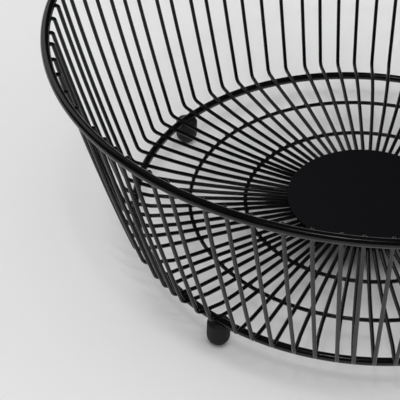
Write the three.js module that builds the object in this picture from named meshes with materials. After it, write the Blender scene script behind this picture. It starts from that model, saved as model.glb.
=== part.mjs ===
// A round welded wire basket: a rod rim, a rod base ring and two thin rings tied together by
// radial wires that end under a flat steel disc, standing on four domed rubber feet.
// Millimetres, +Z up. The origin is on the floor, under the centre of the basket.
import * as THREE from "three";

// Overall sizes.
const rimRadius = 144.4; // to the middle of the rim rod
const baseRadius = 106; // to the middle of the base rod
const rimAboveBase = 94.2; // from the middle of the base rod to the middle of the rim rod

// Rod and wire gauges.
const rimRod = 4.0;
const baseRod = 3.6;
const wireGauge = 1.8;
const thinRod = 1.8;

// Basket floor.
const midRadius = 80.9;
const innerRadius = 55.5;
const discRadius = 36.5;
const discThickness = 1.2;
const discEdgeRound = 0.3;

// Wires. Two neighbours share one length of wire, turned back on itself under the disc.
const pairCount = 40;
const wireCount = 2 * pairCount;
const firstWireAngle = 1.9; // degrees from +X
const turnRadius = 31.5; // where a wire turns back to its neighbour
const bendRadius = 3.4; // of the corner between floor and side
const bendBeyondBase = 3.1; // how far outside the base rod the corner starts
const sideBow = 1.0; // how far the side bulges out between the corner and the rim
const hookRadius = 1.1; // of the hook that turns each tip out to the rim
const hookStub = 0.2; // straight end of the hook

// Feet.
const footCount = 4;
const firstFootAngle = 57.6;
const footRadius = 5.1;
const footHeight = 10.4;
const footFlat = 1.6; // radius of the flat the foot stands on
const pegRadius = 1.6;
const pegLength = 5.5;

// Welds and fits are left this far apart.
const gap = 0.3;

// Heights that follow from the sizes above.
const baseHeight = footHeight + gap + baseRod / 2;
const wireHeight = baseHeight + baseRod / 2 + gap + wireGauge / 2;
const thinHeight = wireHeight - wireGauge / 2 - gap - thinRod / 2;
const discHeight = wireHeight + wireGauge / 2 + gap;
const rimHeight = baseHeight + rimAboveBase;

const basket = new THREE.Group();
basket.name = "wire_basket";

const blackCoat = { color: 0x16161a, roughness: 0.42, metalness: 0.1 };
const blackRubber = { color: 0x232325, roughness: 0.8, metalness: 0 };

function addPiece(name, geometry, look) {
  const piece = new THREE.Mesh(geometry, new THREE.MeshStandardMaterial(look));
  piece.name = name;
  basket.add(piece);
  return piece;
}

// A curve through given points, with one section at each point. Each section stands square to
// the line that halves the corner there, so the wire keeps its thickness round every bend.
class StationCurve extends THREE.Curve {
  constructor(stations) {
    super();
    this.stations = stations;
    this.last = stations.length - 1;
  }

  getPoint(t, target = new THREE.Vector3()) {
    const place = Math.min(Math.max(t, 0), 1) * this.last;
    const before = Math.min(Math.floor(place), this.last - 1);
    return target.lerpVectors(this.stations[before], this.stations[before + 1], place - before);
  }

  getPointAt(u, target) {
    return this.getPoint(u, target);
  }

  getTangentAt(u, target = new THREE.Vector3()) {
    const here = Math.round(Math.min(Math.max(u, 0), 1) * this.last);
    target.set(0, 0, 0);
    for (const start of [here - 1, here]) {
      if (start >= 0 && start < this.last) {
        const step = this.stations[start + 1].clone().sub(this.stations[start]);
        target.add(step.normalize());
      }
    }
    return target.normalize();
  }
}

function roundSection(radius, sides) {
  const corners = [];
  for (let i = 0; i < sides; i += 1) {
    const angle = (2 * Math.PI * (i + 0.5)) / sides;
    corners.push(new THREE.Vector2(radius * Math.cos(angle), radius * Math.sin(angle)));
  }
  return new THREE.Shape(corners);
}

function sweptWire(stations, radius) {
  return new THREE.ExtrudeGeometry(roundSection(radius, 6), {
    steps: stations.length - 1,
    extrudePath: new StationCurve(stations),
    bevelEnabled: false,
  });
}

// A closed ring of round rod lying flat, drawn by turning a closed circle about the Z axis.
function rodRing(radius, rod, height, sides, segments) {
  const profile = [];
  for (let i = 0; i <= sides; i += 1) {
    const angle = (2 * Math.PI * (i % sides)) / sides;
    profile.push(
      new THREE.Vector2(radius + (rod / 2) * Math.cos(angle), (rod / 2) * Math.sin(angle)),
    );
  }
  const ring = new THREE.LatheGeometry(profile, segments);
  ring.rotateX(Math.PI / 2);
  ring.translate(0, 0, height);
  return ring;
}

// Turns a profile of [radius, height] points about the Z axis.
function turned(points, segments) {
  const profile = points.map(([radius, height]) => new THREE.Vector2(radius, height));
  const solid = new THREE.LatheGeometry(profile, segments);
  solid.rotateX(Math.PI / 2);
  return solid;
}

const cornerOut = baseRadius + bendBeyondBase;
const cornerUp = wireHeight + bendRadius;
const tipOut = rimRadius - rimRod / 2 - gap;
const hookOut = tipOut - hookStub;
const hookUp = rimHeight - hookRadius;

function onCorner(turn) {
  return new THREE.Vector2(
    cornerOut + bendRadius * Math.sin(turn),
    cornerUp - bendRadius * Math.cos(turn),
  );
}

function onHook(turn) {
  return new THREE.Vector2(
    hookOut - hookRadius * Math.sin(turn),
    hookUp + hookRadius * Math.cos(turn),
  );
}

// The bowed side leaves the corner leaning further out than it enters the hook. The leans and
// the ends of the side depend on each other, and settle within a few rounds.
function bowedSide() {
  const side = { lean: 0, spread: 0 };
  for (let round = 0; round < 12; round += 1) {
    side.cornerTurn = Math.PI / 2 - side.lean - side.spread;
    side.hookTurn = Math.PI / 2 - side.lean + side.spread;
    side.bottom = onCorner(side.cornerTurn);
    side.chord = onHook(side.hookTurn).sub(side.bottom);
    side.lean = Math.atan2(side.chord.x, side.chord.y);
    side.spread = Math.atan((4 * sideBow) / side.chord.length());
  }
  return side;
}

// One wire from its tip at the rim to the point under the disc: radius in x, height in y.
function wireProfile() {
  const side = bowedSide();
  const points = [new THREE.Vector2(tipOut, rimHeight)];
  const hookSteps = 2;
  for (let i = 0; i <= hookSteps; i += 1) {
    points.push(onHook((side.hookTurn * i) / hookSteps));
  }
  const outward = new THREE.Vector2(Math.cos(side.lean), -Math.sin(side.lean));
  const sideSteps = 3;
  for (let i = sideSteps - 1; i > 0; i -= 1) {
    const along = i / sideSteps;
    points.push(
      side.bottom
        .clone()
        .addScaledVector(side.chord, along)
        .addScaledVector(outward, 4 * sideBow * along * (1 - along)),
    );
  }
  const cornerSteps = 4;
  for (let i = cornerSteps; i >= 0; i -= 1) {
    points.push(onCorner((side.cornerTurn * i) / cornerSteps));
  }
  points.push(new THREE.Vector2(turnRadius, wireHeight));
  return points;
}

// The place of a point at x from the axis and at height y, seen at an angle round the axis.
function atAngle(point, degrees) {
  const angle = THREE.MathUtils.degToRad(degrees);
  return new THREE.Vector3(point.x * Math.cos(angle), point.x * Math.sin(angle), point.y);
}

// The half circle that joins two neighbouring wires, in the plane of the basket floor.
function turnBack(firstEnd, secondEnd, middleAngle) {
  const centre = firstEnd.clone().add(secondEnd).multiplyScalar(0.5);
  const across = secondEnd.clone().sub(firstEnd).multiplyScalar(0.5);
  const inward = atAngle(new THREE.Vector2(-across.length(), 0), middleAngle);
  const steps = 4;
  const points = [];
  for (let i = 1; i < steps; i += 1) {
    const turn = (Math.PI * i) / steps;
    points.push(
      centre
        .clone()
        .addScaledVector(across, -Math.cos(turn))
        .addScaledVector(inward, Math.sin(turn)),
    );
  }
  return points;
}

const profile = wireProfile();
for (let pair = 0; pair < pairCount; pair += 1) {
  const firstAngle = firstWireAngle + (720 * pair) / wireCount;
  const secondAngle = firstAngle + 360 / wireCount;
  const down = profile.map((point) => atAngle(point, firstAngle));
  const up = profile.map((point) => atAngle(point, secondAngle)).reverse();
  const turn = turnBack(down[down.length - 1], up[0], (firstAngle + secondAngle) / 2);
  const name = "wire_pair_" + String(pair + 1).padStart(2, "0");
  addPiece(name, sweptWire([...down, ...turn, ...up], wireGauge / 2), blackCoat);
}

addPiece("rim_ring", rodRing(rimRadius, rimRod, rimHeight, 8, 80), blackCoat);
addPiece("base_ring", rodRing(baseRadius, baseRod, baseHeight, 8, 80), blackCoat);
addPiece("mid_ring", rodRing(midRadius, thinRod, thinHeight, 6, 64), blackCoat);
addPiece("inner_ring", rodRing(innerRadius, thinRod, thinHeight, 6, 48), blackCoat);

const discTop = discHeight + discThickness;
const discProfile = [
  [0, discHeight],
  [discRadius - discEdgeRound, discHeight],
  [discRadius, discHeight + discEdgeRound],
  [discRadius, discTop - discEdgeRound],
  [discRadius - discEdgeRound, discTop],
  [0, discTop],
];
addPiece("centre_disc", turned(discProfile, 48), blackCoat);

// A foot is a short post with a domed end, and has a blind hole in its top for its peg.
function footProfile() {
  const points = [[0, 0], [footFlat, 0]];
  const domeStart = Math.asin(footFlat / footRadius);
  const drop = footRadius * Math.cos(domeStart);
  const domeSteps = 5;
  for (let i = 1; i <= domeSteps; i += 1) {
    const turn = domeStart + ((Math.PI / 2 - domeStart) * i) / domeSteps;
    points.push([footRadius * Math.sin(turn), drop - footRadius * Math.cos(turn)]);
  }
  const holeRadius = pegRadius + gap;
  const holeFloor = footHeight - pegLength - gap;
  points.push([footRadius, footHeight - 0.8]);
  points.push([footRadius - 0.8, footHeight]);
  points.push([holeRadius, footHeight]);
  points.push([holeRadius, holeFloor]);
  points.push([0, holeFloor]);
  return points;
}

const pegProfile = [
  [0, footHeight - pegLength],
  [pegRadius, footHeight - pegLength],
  [pegRadius, footHeight],
  [0, footHeight],
];
for (let i = 0; i < footCount; i += 1) {
  const place = atAngle(new THREE.Vector2(baseRadius, 0), firstFootAngle + (360 * i) / footCount);
  const foot = addPiece("foot_" + (i + 1), turned(footProfile(), 20), blackRubber);
  foot.position.copy(place);
  const peg = addPiece("foot_peg_" + (i + 1), turned(pegProfile, 12), blackCoat);
  peg.position.copy(place);
}

export default basket;
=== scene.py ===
"""A black wire produce basket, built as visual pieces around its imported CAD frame."""

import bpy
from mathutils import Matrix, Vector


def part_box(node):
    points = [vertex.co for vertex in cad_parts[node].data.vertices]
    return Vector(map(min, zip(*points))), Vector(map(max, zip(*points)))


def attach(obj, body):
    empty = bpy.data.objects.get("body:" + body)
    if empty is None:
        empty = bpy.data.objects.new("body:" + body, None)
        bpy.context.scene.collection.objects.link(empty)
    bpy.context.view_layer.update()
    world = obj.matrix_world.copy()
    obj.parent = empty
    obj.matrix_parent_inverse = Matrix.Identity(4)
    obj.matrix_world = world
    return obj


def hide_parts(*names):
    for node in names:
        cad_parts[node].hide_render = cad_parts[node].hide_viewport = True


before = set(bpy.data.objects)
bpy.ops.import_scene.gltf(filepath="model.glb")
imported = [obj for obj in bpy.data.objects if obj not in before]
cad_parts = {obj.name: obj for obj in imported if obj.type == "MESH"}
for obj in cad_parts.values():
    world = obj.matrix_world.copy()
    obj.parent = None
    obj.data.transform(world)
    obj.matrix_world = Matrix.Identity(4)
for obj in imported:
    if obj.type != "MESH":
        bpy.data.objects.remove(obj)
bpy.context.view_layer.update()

import math
import random

import bpy
from mathutils import Euler, Vector

bl_info = {
    "name": "Wire Produce Basket",
    "version": (1, 0, 0),
    "blender": (4, 5, 0),
    "location": "View3D > Sidebar > Basket",
    "description": "Builds a round welded wire basket with a rod rim, a centre disc and domed feet",
    "category": "Add Mesh",
}

MM = 0.001
BODY = "root"
PAIR_COUNT = 40
WIRE_COUNT = 2 * PAIR_COUNT
FOOT_COUNT = 4


def ring_sizes(node):
    """(radius to the middle of the rod, rod thickness, height of its middle) of a CAD ring."""
    low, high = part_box(node)
    rod = high.z - low.z
    return (high.x - low.x - rod) / 2, rod, (high.z + low.z) / 2


RIM_RADIUS, RIM_ROD, RIM_HEIGHT = ring_sizes("rim_ring")
BASE_RADIUS, BASE_ROD, BASE_HEIGHT = ring_sizes("base_ring")


# ---------------------------------------------------------------- settings


class BasketSizes(bpy.types.PropertyGroup):
    """Sizes that the visual pieces take besides those of the CAD frame."""

    wire_gauge: bpy.props.FloatProperty(
        name="Wire gauge",
        description="Thickness of the radial wires",
        default=1.8 * MM,
        unit="LENGTH",
    )
    thin_rod: bpy.props.FloatProperty(
        name="Thin ring gauge",
        description="Thickness of the two thin rings under the floor wires",
        default=1.8 * MM,
        unit="LENGTH",
    )
    first_wire_angle: bpy.props.FloatProperty(
        name="First wire",
        description="Where the first wire stands, counted from +X",
        default=math.radians(1.9),
        subtype="ANGLE",
    )
    first_foot_angle: bpy.props.FloatProperty(
        name="First foot",
        description="Where the first foot stands, counted from +X",
        default=math.radians(57.6),
        subtype="ANGLE",
    )
    uneven: bpy.props.FloatProperty(
        name="Uneven spacing",
        description="How far a wire's tip may stray at the rim from its place on the side",
        default=math.radians(0.15),
        subtype="ANGLE",
    )
    weld_size: bpy.props.FloatProperty(
        name="Weld size",
        description="Radius of the small weld beads where wires cross the rings",
        default=1.05 * MM,
        unit="LENGTH",
    )


class BasketFinish(bpy.types.PropertyGroup):
    """Colours and sheen of the coat, the disc and the feet."""

    coat_colour: bpy.props.FloatVectorProperty(
        name="Coat colour",
        description="Colour of the coat on rods and wires",
        default=(0.0028, 0.0026, 0.003),
        size=3,
        subtype="COLOR",
    )
    coat_roughness: bpy.props.FloatProperty(
        name="Coat roughness",
        description="How dull the coat on rods and wires is",
        default=0.21,
        min=0.0,
        max=1.0,
        subtype="FACTOR",
    )
    disc_colour: bpy.props.FloatVectorProperty(
        name="Disc colour",
        description="Colour of the textured coat on the disc",
        default=(0.0038, 0.0032, 0.0045),
        size=3,
        subtype="COLOR",
    )
    foot_colour: bpy.props.FloatVectorProperty(
        name="Foot colour",
        description="Colour of the rubber feet",
        default=(0.009, 0.0085, 0.0105),
        size=3,
        subtype="COLOR",
    )


class BasketStage(bpy.types.PropertyGroup):
    """Floor, light and camera."""

    floor_colour: bpy.props.FloatVectorProperty(
        name="Floor colour",
        description="Colour of the pale floor",
        default=(0.8, 0.8, 0.8),
        size=3,
        subtype="COLOR",
    )
    key_power: bpy.props.FloatProperty(
        name="Main light",
        description="Power of the large soft light behind the basket on the left",
        default=5.5,
        min=0.0,
    )
    fill_power: bpy.props.FloatProperty(
        name="Fill light",
        description="Power of the soft light overhead",
        default=34.0,
        min=0.0,
    )
    spark_power: bpy.props.FloatProperty(
        name="Small light",
        description="Power of the small high light that draws thin highlights along the rods",
        default=3.2,
        min=0.0,
    )
    room_light: bpy.props.FloatProperty(
        name="Room light",
        description="Even light from all round, which the black coat does not mirror",
        default=0.48,
        min=0.0,
    )
    lens: bpy.props.FloatProperty(
        name="Lens",
        description="Focal length of the camera in millimetres",
        default=175.3,
        min=1.0,
    )


# ---------------------------------------------------------------- mesh tools


def polar(radius, angle, height):
    return Vector((radius * math.cos(angle), radius * math.sin(angle), height))


class Shape:
    """Vertices and faces gathered for one piece."""

    def __init__(self):
        self.vertices = []
        self.faces = []

    def tube(self, points, radius, sides):
        """A round tube along points, closed at both ends."""
        count = len(points)
        start = len(self.vertices)
        tangents = []
        for i in range(count):
            into = (points[i] - points[max(i - 1, 0)]).normalized()
            out = (points[min(i + 1, count - 1)] - points[i]).normalized()
            tangents.append((into + out).normalized())
        side = tangents[0].orthogonal().normalized()
        for point, tangent in zip(points, tangents):
            side = (side - tangent * side.dot(tangent)).normalized()
            other = tangent.cross(side)
            for j in range(sides):
                turn = 2 * math.pi * j / sides
                across = side * math.cos(turn) + other * math.sin(turn)
                self.vertices.append(point + across * radius)
        for i in range(count - 1):
            here = start + i * sides
            there = here + sides
            for j in range(sides):
                k = (j + 1) % sides
                self.faces.append((here + j, here + k, there + k, there + j))
        last = start + (count - 1) * sides
        self.faces.append(tuple(start + j for j in reversed(range(sides))))
        self.faces.append(tuple(last + j for j in range(sides)))

    def ring(self, radius, rod, height, segments, sides):
        """A closed round rod ring lying flat."""
        start = len(self.vertices)
        for i in range(segments):
            angle = 2 * math.pi * i / segments
            for j in range(sides):
                turn = 2 * math.pi * j / sides
                out = radius + rod / 2 * math.cos(turn)
                self.vertices.append(polar(out, angle, height + rod / 2 * math.sin(turn)))
        for i in range(segments):
            here = start + i * sides
            there = start + ((i + 1) % segments) * sides
            for j in range(sides):
                k = (j + 1) % sides
                self.faces.append((here + j, there + j, there + k, here + k))

    def turned(self, profile, segments, centre=Vector((0, 0, 0))):
        """A profile of (radius, height) points turned about the upright line through centre.
        It runs from the axis at the bottom to the axis at the top."""
        start = len(self.vertices)
        inner = profile[1:-1]
        self.vertices.append(centre + Vector((0, 0, profile[0][1])))
        for radius, height in inner:
            for j in range(segments):
                angle = 2 * math.pi * j / segments
                self.vertices.append(centre + polar(radius, angle, height))
        self.vertices.append(centre + Vector((0, 0, profile[-1][1])))
        top = len(self.vertices) - 1
        last = start + 1 + (len(inner) - 1) * segments
        for j in range(segments):
            k = (j + 1) % segments
            self.faces.append((start, start + 1 + k, start + 1 + j))
            self.faces.append((top, last + j, last + k))
            for i in range(len(inner) - 1):
                here = start + 1 + i * segments
                there = here + segments
                self.faces.append((here + j, here + k, there + k, there + j))

    def bead(self, centre, along, size, long_size, steps=10):
        """A smooth weld bead: a ball stretched along one direction."""
        start = len(self.vertices)
        along = along.normalized()
        side = along.orthogonal().normalized()
        other = along.cross(side)
        rows = steps // 2
        self.vertices.append(centre - along * long_size)
        for i in range(1, rows):
            lift = math.pi * i / rows
            for j in range(steps):
                turn = 2 * math.pi * j / steps
                across = side * math.cos(turn) + other * math.sin(turn)
                self.vertices.append(
                    centre
                    - along * long_size * math.cos(lift)
                    + across * size * math.sin(lift)
                )
        self.vertices.append(centre + along * long_size)
        end = len(self.vertices) - 1
        last = start + 1 + (rows - 2) * steps
        for j in range(steps):
            k = (j + 1) % steps
            self.faces.append((start, start + 1 + k, start + 1 + j))
            self.faces.append((end, last + j, last + k))
            for i in range(rows - 2):
                here = start + 1 + i * steps
                there = here + steps
                self.faces.append((here + j, here + k, there + k, there + j))

    def piece(self, name, material, nodes, smooth_angle=math.radians(40)):
        """Makes the object, puts it on the basket's body and hides the CAD nodes it shows."""
        mesh = bpy.data.meshes.new(name)
        mesh.from_pydata([tuple(v) for v in self.vertices], [], self.faces)
        mesh.validate()
        mesh.update()
        mesh.shade_smooth()
        mesh.set_sharp_from_angle(angle=smooth_angle)
        mesh.materials.append(material)
        made = bpy.data.objects.new(name, mesh)
        bpy.context.scene.collection.objects.link(made)
        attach(made, BODY)
        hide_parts(*nodes)
        return made


# ---------------------------------------------------------------- materials


def new_group(name, inputs, outputs):
    group = bpy.data.node_groups.new(name, "ShaderNodeTree")
    for label, kind, value in inputs:
        socket = group.interface.new_socket(name=label, in_out="INPUT", socket_type=kind)
        socket.default_value = value
    for label, kind in outputs:
        group.interface.new_socket(name=label, in_out="OUTPUT", socket_type=kind)
    source = group.nodes.new("NodeGroupInput")
    sink = group.nodes.new("NodeGroupOutput")
    return group, source, sink


def node(tree, kind, settings=None, **values):
    """Adds a node, sets its properties, and fills or links its inputs by name or number."""
    made = tree.nodes.new(kind)
    for key, value in (settings or {}).items():
        setattr(made, key, value)
    for key, value in values.items():
        label = key.replace("_", " ")
        socket = made.inputs[int(key[2:])] if key.startswith("in") and key[2:].isdigit() else None
        if socket is None:
            socket = next(s for s in made.inputs if s.name.lower() == label.lower())
        if isinstance(value, bpy.types.NodeSocket):
            tree.links.new(value, socket)
        else:
            socket.default_value = value
    return made


def math_node(tree, operation, first, second):
    made = node(tree, "ShaderNodeMath", {"operation": operation}, in0=first, in1=second)
    return made.outputs[0]


def coat_grain_group():
    """Fine orange peel of a sprayed coat: a height for bumps and a patchy sheen."""
    group, source, sink = new_group(
        "Coat Grain",
        [
            ("Grain Scale", "NodeSocketFloat", 1200.0),
            ("Patch Scale", "NodeSocketFloat", 60.0),
            ("Sheen", "NodeSocketFloat", 0.36),
            ("Sheen Spread", "NodeSocketFloat", 0.08),
        ],
        [("Height", "NodeSocketFloat"), ("Roughness", "NodeSocketFloat")],
    )
    place = node(group, "ShaderNodeTexCoord").outputs["Object"]
    grain = node(
        group,
        "ShaderNodeTexNoise",
        Vector=place,
        Scale=source.outputs["Grain Scale"],
        Detail=3.0,
        Roughness=0.55,
    )
    patch = node(
        group,
        "ShaderNodeTexNoise",
        Vector=place,
        Scale=source.outputs["Patch Scale"],
        Detail=4.0,
        Roughness=0.6,
    )
    centred = math_node(group, "SUBTRACT", patch.outputs["Fac"], 0.5)
    spread = math_node(group, "MULTIPLY", centred, source.outputs["Sheen Spread"])
    doubled = math_node(group, "MULTIPLY", spread, 2.0)
    sheen = math_node(group, "ADD", doubled, source.outputs["Sheen"])
    group.links.new(grain.outputs["Fac"], sink.inputs["Height"])
    group.links.new(sheen, sink.inputs["Roughness"])
    return group


def settled_dust_group():
    """A faint film of dust on faces that look up, broken up by noise."""
    group, source, sink = new_group(
        "Settled Dust",
        [
            ("Base", "NodeSocketColor", (0.01, 0.01, 0.01, 1.0)),
            ("Dust", "NodeSocketColor", (0.16, 0.15, 0.145, 1.0)),
            ("Amount", "NodeSocketFloat", 0.05),
            ("Scale", "NodeSocketFloat", 400.0),
        ],
        [("Color", "NodeSocketColor")],
    )
    geometry = node(group, "ShaderNodeNewGeometry")
    parts = node(group, "ShaderNodeSeparateXYZ", Vector=geometry.outputs["Normal"])
    upward = math_node(group, "MAXIMUM", parts.outputs["Z"], 0.0)
    place = node(group, "ShaderNodeTexCoord").outputs["Object"]
    specks = node(
        group,
        "ShaderNodeTexNoise",
        Vector=place,
        Scale=source.outputs["Scale"],
        Detail=6.0,
        Roughness=0.7,
    )
    broken = math_node(group, "MULTIPLY", specks.outputs["Fac"], upward)
    mask = math_node(group, "MULTIPLY", broken, source.outputs["Amount"])
    mixed = node(
        group,
        "ShaderNodeMix",
        {"data_type": "RGBA"},
        in0=mask,
        in6=source.outputs["Base"],
        in7=source.outputs["Dust"],
    )
    group.links.new(mixed.outputs[2], sink.inputs["Color"])
    return group


def shared_group(name, build):
    return bpy.data.node_groups.get(name) or build()


def coated_material(name, colour, roughness, spread, grain_scale, grain_height, dust, specular):
    """A plain surface with grain, patchy sheen and a little dust, mixed by the shared groups."""
    found = bpy.data.materials.get(name)
    if found:
        return found
    material = bpy.data.materials.new(name)
    material.use_nodes = True
    tree = material.node_tree
    surface = tree.nodes["Principled BSDF"]
    grain = node(tree, "ShaderNodeGroup", {"node_tree": shared_group("Coat Grain", coat_grain_group)})
    grain.inputs["Grain Scale"].default_value = grain_scale
    grain.inputs["Sheen"].default_value = roughness
    grain.inputs["Sheen Spread"].default_value = spread
    film = node(
        tree, "ShaderNodeGroup", {"node_tree": shared_group("Settled Dust", settled_dust_group)}
    )
    film.inputs["Base"].default_value = (*colour, 1.0)
    film.inputs["Amount"].default_value = dust
    bump = node(
        tree,
        "ShaderNodeBump",
        Strength=1.0,
        Distance=grain_height,
        Height=grain.outputs["Height"],
    )
    tree.links.new(film.outputs["Color"], surface.inputs["Base Color"])
    tree.links.new(grain.outputs["Roughness"], surface.inputs["Roughness"])
    tree.links.new(bump.outputs["Normal"], surface.inputs["Normal"])
    surface.inputs["Specular IOR Level"].default_value = specular
    return material


def rod_material(finish):
    return coated_material(
        "Satin Black Coat",
        finish.coat_colour,
        finish.coat_roughness,
        spread=0.1,
        grain_scale=1500.0,
        grain_height=0.00003,
        dust=0.01,
        specular=0.42,
    )


def disc_material(finish):
    return coated_material(
        "Textured Black Coat",
        finish.disc_colour,
        roughness=0.55,
        spread=0.12,
        grain_scale=2200.0,
        grain_height=0.00006,
        dust=0.015,
        specular=0.14,
    )


def rubber_material(finish):
    return coated_material(
        "Matte Black Rubber",
        finish.foot_colour,
        roughness=0.62,
        spread=0.1,
        grain_scale=2600.0,
        grain_height=0.00004,
        dust=0.05,
        specular=0.3,
    )


# ---------------------------------------------------------------- wires


BEND = 3.4 * MM
BEND_BEYOND_BASE = 3.1 * MM
SIDE_BOW = 1.0 * MM
HOOK_BEND = 1.1 * MM
HOOK_STUB = 0.4 * MM
TURN_RADIUS = 31.5 * MM
WELD_GAP = 0.3 * MM
TIP_IN_RIM = 0.4 * MM
BEAD_SINK = 0.15 * MM
BEAD_FLATNESS = 0.86


def bowed_side(corner, hook):
    """Ends of the bowed side wire, from the middles of the floor corner and of the rim hook.
    Its leans and its ends depend on each other, and settle within a few rounds."""
    lean = spread = 0.0
    for _ in range(12):
        corner_turn = math.pi / 2 - lean - spread
        hook_turn = math.pi / 2 - lean + spread
        bottom = corner + BEND * Vector((math.sin(corner_turn), -math.cos(corner_turn)))
        top = hook + HOOK_BEND * Vector((-math.sin(hook_turn), math.cos(hook_turn)))
        chord = top - bottom
        lean = math.atan2(chord.x, chord.y)
        spread = math.atan(4 * SIDE_BOW / chord.length)
    return bottom, chord, lean, corner_turn, hook_turn


def wire_profile(sizes):
    """One wire from the rim to the point under the disc, as (radius, height) vectors."""
    wire_height = BASE_HEIGHT + BASE_ROD / 2 + WELD_GAP + sizes.wire_gauge / 2
    corner = Vector((BASE_RADIUS + BEND_BEYOND_BASE, wire_height + BEND))
    tip = RIM_RADIUS - RIM_ROD / 2 + TIP_IN_RIM
    hook = Vector((tip - TIP_IN_RIM - HOOK_STUB, RIM_HEIGHT - HOOK_BEND))
    bottom, chord, lean, corner_turn, hook_turn = bowed_side(corner, hook)
    profile = [Vector((tip, RIM_HEIGHT))]
    hook_steps, side_steps, corner_steps, floor_steps = 8, 14, 8, 8
    for i in range(hook_steps + 1):
        turn = hook_turn * i / hook_steps
        profile.append(hook + HOOK_BEND * Vector((-math.sin(turn), math.cos(turn))))
    outward = Vector((math.cos(lean), -math.sin(lean)))
    for i in range(side_steps - 1, 0, -1):
        along = i / side_steps
        profile.append(bottom + chord * along + outward * 4 * SIDE_BOW * along * (1 - along))
    for i in range(corner_steps, -1, -1):
        turn = corner_turn * i / corner_steps
        profile.append(corner + BEND * Vector((math.sin(turn), -math.cos(turn))))
    for i in range(1, floor_steps + 1):
        out = corner.x + (TURN_RADIUS - corner.x) * i / floor_steps
        profile.append(Vector((out, wire_height)))
    return profile


# How far each wire stands from even spacing, in degrees, halfway along the floor, at the base
# ring and on the side. The side values are rough and most of them are unchecked. The first row
# is wire HAND_SET_FROM, and wires that have no row ease from the last row back to the first.
HAND_SET_FROM = 19
HAND_SET = (
    (-1.0, -0.4, 0.1), (-0.9, -0.5, 0.0), (-0.6, -0.5, 0.0), (-0.6, -0.5, -0.2),
    (-0.6, -0.7, -0.2), (-0.4, -0.5, -0.5), (0.6, 0.2, 0.1), (0.9, 0.7, 0.4),
    (2.2, 1.6, 0.6), (2.3, 1.2, 0.5), (2.9, 1.9, 0.6), (3.2, 1.8, 0.1),
    (3.6, 2.0, 0.8), (3.8, 1.7, 0.2), (4.0, 2.2, 0.8), (3.3, 1.6, 0.4),
    (3.1, 1.4, 0.0), (3.5, 1.3, -0.1), (3.5, 1.0, -0.2), (3.4, 1.4, 0.2),
    (2.4, 1.5, -0.6), (1.7, 1.0, -1.8), (0.9, 0.4, -2.0), (0.3, 0.4, -2.0),
    (-0.4, 0.2, -2.9), (-0.3, 0.1, -2.8), (-0.6, -0.7, -2.6), (-0.8, -0.7, -1.9),
    (0.8, 1.2, -1.2), (0.4, 0.1, 0.4), (-0.5, -0.7, -0.5), (-1.0, -0.4, -1.7),
    (-0.9, -1.3, -3.1), (-1.3, -0.9, -2.8), (-1.2, -1.9, -3.4), (-2.0, -1.0, -1.2),
    (-2.2, -1.5, -1.5), (-2.2, -1.7, -1.4), (-2.1, -1.6, -0.9), (-2.4, -1.8, -0.8),
    (-2.3, -1.4, -0.6), (-2.7, -2.1, -1.6), (-2.2, -1.8, -1.7), (-2.3, -1.5, -1.7),
)
CORE_SLANT = 0.6
DISC_EDGE = 37.0 * MM
MID_FLOOR = 68.0 * MM
NEAR_BASE = 97.0 * MM
SIDE_START = 112.0 * MM


def hand_set(wire):
    """How far a wire stands from even spacing, in radians, at four radii going outwards."""
    place = (wire - HAND_SET_FROM) % WIRE_COUNT
    last = len(HAND_SET) - 1
    if place <= last:
        middle, base, side = HAND_SET[place]
    else:
        share = (place - last) / (WIRE_COUNT - last)
        middle, base, side = (
            end + (start - end) * share for end, start in zip(HAND_SET[last], HAND_SET[0])
        )
    core = middle + CORE_SLANT * (middle - base)
    return (
        (DISC_EDGE, math.radians(core)),
        (MID_FLOOR, math.radians(middle)),
        (NEAR_BASE, math.radians(base)),
        (SIDE_START, math.radians(side)),
    )


def stray_angle(radius, knots):
    """How far a wire strays from its even place at this radius."""
    if radius <= knots[0][0]:
        return knots[0][1]
    for (inner, first), (outer, second) in zip(knots, knots[1:]):
        if radius <= outer:
            return first + (second - first) * (radius - inner) / (outer - inner)
    return knots[-1][1]


def turn_back(first, second, middle, steps=10):
    """The half circle under the disc that joins two neighbouring wires."""
    centre = (first + second) / 2
    across = (second - first) / 2
    inward = -polar(across.length, middle, 0)
    points = []
    for i in range(1, steps):
        turn = math.pi * i / steps
        points.append(centre - across * math.cos(turn) + inward * math.sin(turn))
    return points


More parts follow.
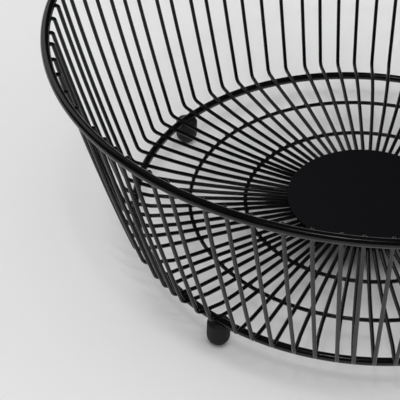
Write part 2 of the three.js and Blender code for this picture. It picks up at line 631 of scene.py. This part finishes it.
class BASKET_OT_add_wires(bpy.types.Operator):
    """Adds the radial wires, each pair bent from one length, with their weld beads"""

    bl_idname = "basket.add_wires"
    bl_label = "Wires"

    def execute(self, context):
        sizes = context.scene.basket_sizes
        coat = rod_material(context.scene.basket_finish)
        draw = random.Random(11)
        profile = wire_profile(sizes)
        height = profile[-1].y
        bead_height = height - sizes.wire_gauge / 2 - BEAD_SINK
        weld = sizes.weld_size
        crossings = [BASE_RADIUS, ring_sizes("mid_ring")[0], ring_sizes("inner_ring")[0]]
        step = 2 * math.pi / WIRE_COUNT
        for pair in range(PAIR_COUNT):
            shape = Shape()
            legs = []
            for leg in range(2):
                wire = 2 * pair + leg
                even = sizes.first_wire_angle + step * wire
                stray = draw.uniform(-1, 1) * sizes.uneven
                knots = hand_set(wire)
                knots = (*knots, (RIM_RADIUS, knots[-1][1] + stray))
                points = [polar(radius, even + stray_angle(radius, knots), z) for radius, z in profile]
                legs.append(points)
                for radius in crossings:
                    angle = even + stray_angle(radius, knots)
                    centre = polar(radius, angle, bead_height)
                    shape.bead(centre, polar(1, angle, 0), weld * BEAD_FLATNESS, weld)
                tip = points[0]
                outward = Vector((tip.x, tip.y, 0))
                shape.bead(tip, outward, weld, weld)
            ends = (legs[0][-1] + legs[1][-1]) / 2
            middle = math.atan2(ends.y, ends.x)
            turn = turn_back(legs[0][-1], legs[1][-1], middle)
            path = legs[0] + turn + legs[1][::-1]
            shape.tube(path, sizes.wire_gauge / 2, sides=14)
            number = f"{pair + 1:02d}"
            shape.piece("wires_" + number, coat, ["wire_pair_" + number])
        return {"FINISHED"}


# ---------------------------------------------------------------- rings


class BASKET_OT_add_rim(bpy.types.Operator):
    """Adds the thick rod ring round the top"""

    bl_idname = "basket.add_rim"
    bl_label = "Rim"

    def execute(self, context):
        coat = rod_material(context.scene.basket_finish)
        shape = Shape()
        shape.ring(RIM_RADIUS, RIM_ROD, RIM_HEIGHT, segments=320, sides=28)
        shape.piece("rim", coat, ["rim_ring"])
        return {"FINISHED"}


class BASKET_OT_add_floor_rings(bpy.types.Operator):
    """Adds the thick base ring and the two thin rings under the floor wires"""

    bl_idname = "basket.add_floor_rings"
    bl_label = "Floor rings"

    def execute(self, context):
        coat = rod_material(context.scene.basket_finish)
        for name, cad, segments, sides in (
            ("base_rod", "base_ring", 256, 24),
            ("mid_rod", "mid_ring", 220, 16),
            ("inner_rod", "inner_ring", 180, 16),
        ):
            radius, rod, height = ring_sizes(cad)
            if cad != "base_ring":
                rod = context.scene.basket_sizes.thin_rod
            shape = Shape()
            shape.ring(radius, rod, height, segments, sides)
            shape.piece(name, coat, [cad])
        return {"FINISHED"}


DISC_ROUNDING = 0.35 * MM


class BASKET_OT_add_disc(bpy.types.Operator):
    """Adds the flat disc that covers the wire ends in the middle of the floor"""

    bl_idname = "basket.add_disc"
    bl_label = "Centre disc"

    def execute(self, context):
        coat = disc_material(context.scene.basket_finish)
        low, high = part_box("centre_disc")
        radius = (high.x - low.x) / 2
        bottom = low.z - WELD_GAP
        top = high.z - WELD_GAP
        edge = DISC_ROUNDING
        profile = [(0, bottom), (radius - edge, bottom)]
        edge_steps = 6
        for centre_height, start in ((bottom + edge, -math.pi / 2), (top - edge, 0.0)):
            for i in range(edge_steps + 1):
                turn = start + math.pi / 2 * i / edge_steps
                profile.append(
                    (radius - edge + edge * math.cos(turn), centre_height + edge * math.sin(turn))
                )
        profile.append((0, top))
        shape = Shape()
        shape.turned(profile, segments=160)
        shape.piece("disc", coat, ["centre_disc"])
        return {"FINISHED"}


# How far each foot is set round from its even place, in degrees.
FOOT_DRIFT = (0.4, 0.8, -0.7, -0.3)
FOOT_FLAT = 1.4 * MM
DOME_START = 1.6 * MM
FOOT_SHOULDER = 1.2 * MM
FOOT_BELOW_ROD_MIDDLE = 0.4 * MM
PEG_RADIUS = 1.6 * MM
PEG_IN_FOOT = 1.0 * MM
PEG_BELOW_ROD_MIDDLE = 0.8 * MM


class BASKET_OT_add_feet(bpy.types.Operator):
    """Adds the domed rubber feet and the pegs that hold them"""

    bl_idname = "basket.add_feet"
    bl_label = "Feet"

    def execute(self, context):
        sizes = context.scene.basket_sizes
        rubber = rubber_material(context.scene.basket_finish)
        coat = rod_material(context.scene.basket_finish)
        low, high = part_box("foot_1")
        radius = (high.x - low.x) / 2
        height = BASE_HEIGHT - FOOT_BELOW_ROD_MIDDLE
        profile = [(0, 0), (FOOT_FLAT, 0)]
        dome_start = math.asin(DOME_START / radius)
        drop = radius * math.cos(dome_start)
        dome_steps = 16
        for i in range(dome_steps + 1):
            turn = dome_start + (math.pi / 2 - dome_start) * i / dome_steps
            profile.append((radius * math.sin(turn), drop - radius * math.cos(turn)))
        shoulder_steps = 6
        for i in range(shoulder_steps + 1):
            turn = math.pi / 2 * i / shoulder_steps
            profile.append(
                (
                    radius - FOOT_SHOULDER + FOOT_SHOULDER * math.cos(turn),
                    height - FOOT_SHOULDER + FOOT_SHOULDER * math.sin(turn),
                )
            )
        profile.append((0, height))
        for i, drift in enumerate(FOOT_DRIFT):
            angle = sizes.first_foot_angle + 2 * math.pi * i / FOOT_COUNT + math.radians(drift)
            centre = polar(BASE_RADIUS, angle, 0)
            foot = Shape()
            foot.turned(profile, segments=48, centre=centre)
            foot.piece(f"foot_dome_{i + 1}", rubber, [f"foot_{i + 1}"])
            peg = Shape()
            bottom = high.z - PEG_IN_FOOT
            top = BASE_HEIGHT - PEG_BELOW_ROD_MIDDLE
            outline = [(0, bottom), (PEG_RADIUS, bottom), (PEG_RADIUS, top), (0, top)]
            peg.turned(outline, segments=24, centre=centre)
            peg.piece(f"peg_{i + 1}", coat, [f"foot_peg_{i + 1}"])
        return {"FINISHED"}


# ---------------------------------------------------------------- stage


FLOOR_HALF = 3.0
CAMERA_PLACE = Vector((0.0003, -0.7109, 0.5606))
CAMERA_AIM = Vector((-0.07564, -0.01114, 0.0155))
CAMERA_ROLL = math.radians(1.376)


def area_light(name, place, aim, size, power):
    light = bpy.data.lights.new(name, "AREA")
    light.shape = "RECTANGLE"
    light.size, light.size_y = size
    light.energy = power
    made = bpy.data.objects.new(name, light)
    made.location = place
    made.rotation_mode = "QUATERNION"
    made.rotation_quaternion = (Vector(aim) - Vector(place)).to_track_quat("-Z", "Y")
    bpy.context.scene.collection.objects.link(made)
    return made


class BASKET_OT_set_stage(bpy.types.Operator):
    """Adds the pale floor, the soft lights and the camera"""

    bl_idname = "basket.set_stage"
    bl_label = "Stage"

    def execute(self, context):
        scene = context.scene
        stage = scene.basket_stage
        scene.view_settings.view_transform = "Standard"
        scene.view_settings.look = "None"
        mesh = bpy.data.meshes.new("floor")
        near, far = -FLOOR_HALF, FLOOR_HALF
        corners = [(near, near, 0), (far, near, 0), (far, far, 0), (near, far, 0)]
        mesh.from_pydata(corners, [], [(0, 1, 2, 3)])
        paper = bpy.data.materials.new("Pale Floor")
        paper.use_nodes = True
        surface = paper.node_tree.nodes["Principled BSDF"]
        surface.inputs["Base Color"].default_value = (*stage.floor_colour, 1.0)
        surface.inputs["Roughness"].default_value = 0.75
        surface.inputs["Specular IOR Level"].default_value = 0.2
        mesh.materials.append(paper)
        floor = bpy.data.objects.new("floor", mesh)
        scene.collection.objects.link(floor)

        world = bpy.data.worlds.new("Soft Room")
        world.use_nodes = True
        sky = world.node_tree.nodes["Background"]
        sky.inputs["Color"].default_value = (1.0, 1.0, 1.0, 1.0)
        rays = node(world.node_tree, "ShaderNodeLightPath")
        glow = node(
            world.node_tree,
            "ShaderNodeMath",
            {"operation": "MULTIPLY"},
            in0=rays.outputs["Is Diffuse Ray"],
            in1=stage.room_light,
        )
        world.node_tree.links.new(glow.outputs[0], sky.inputs["Strength"])
        scene.world = world

        area_light("key", (-1.2, 1.3, 1.0), (0, 0, 0.05), (1.6, 1.4), stage.key_power)
        fill = area_light("fill", (0.5, -0.4, 2.2), (0, 0, 0), (2.8, 2.8), stage.fill_power)
        fill.visible_glossy = False
        area_light("spark", (-0.2, -0.7, 2.1), (0, 0, 0.05), (0.2, 0.1), stage.spark_power)

        camera = bpy.data.cameras.new("camera")
        camera.sensor_width = 36.0
        camera.lens = stage.lens
        camera.clip_start, camera.clip_end = 0.01, 50.0
        holder = bpy.data.objects.new("camera", camera)
        look = (CAMERA_AIM - CAMERA_PLACE).to_track_quat("-Z", "Y")
        roll = Euler((0, 0, CAMERA_ROLL)).to_quaternion()
        holder.rotation_mode = "QUATERNION"
        holder.rotation_quaternion = look @ roll
        holder.location = CAMERA_PLACE
        scene.collection.objects.link(holder)
        scene.camera = holder
        return {"FINISHED"}


class BASKET_PT_build(bpy.types.Panel):
    """Lists the operators that build the basket"""

    bl_label = "Wire Basket"
    bl_idname = "BASKET_PT_build"
    bl_space_type = "VIEW_3D"
    bl_region_type = "UI"
    bl_category = "Basket"

    def draw(self, context):
        scene = context.scene
        for group in (scene.basket_sizes, scene.basket_finish, scene.basket_stage):
            box = self.layout.box()
            for name in group.__annotations__:
                box.prop(group, name)
        for operator in OPERATORS:
            self.layout.operator(operator.bl_idname)


SETTINGS = {
    "basket_sizes": BasketSizes,
    "basket_finish": BasketFinish,
    "basket_stage": BasketStage,
}
OPERATORS = (
    BASKET_OT_add_rim,
    BASKET_OT_add_floor_rings,
    BASKET_OT_add_wires,
    BASKET_OT_add_disc,
    BASKET_OT_add_feet,
    BASKET_OT_set_stage,
)


def register():
    for name, settings in SETTINGS.items():
        bpy.utils.register_class(settings)
        setattr(bpy.types.Scene, name, bpy.props.PointerProperty(type=settings))
    for operator in OPERATORS:
        bpy.utils.register_class(operator)
    bpy.utils.register_class(BASKET_PT_build)


def unregister():
    bpy.utils.unregister_class(BASKET_PT_build)
    for operator in reversed(OPERATORS):
        bpy.utils.unregister_class(operator)
    for name, settings in reversed(list(SETTINGS.items())):
        delattr(bpy.types.Scene, name)
        bpy.utils.unregister_class(settings)


def main():
    register()
    bpy.ops.basket.add_rim()
    bpy.ops.basket.add_floor_rings()
    bpy.ops.basket.add_wires()
    bpy.ops.basket.add_disc()
    bpy.ops.basket.add_feet()
    bpy.ops.basket.set_stage()


if __name__ == "__main__":
    main()
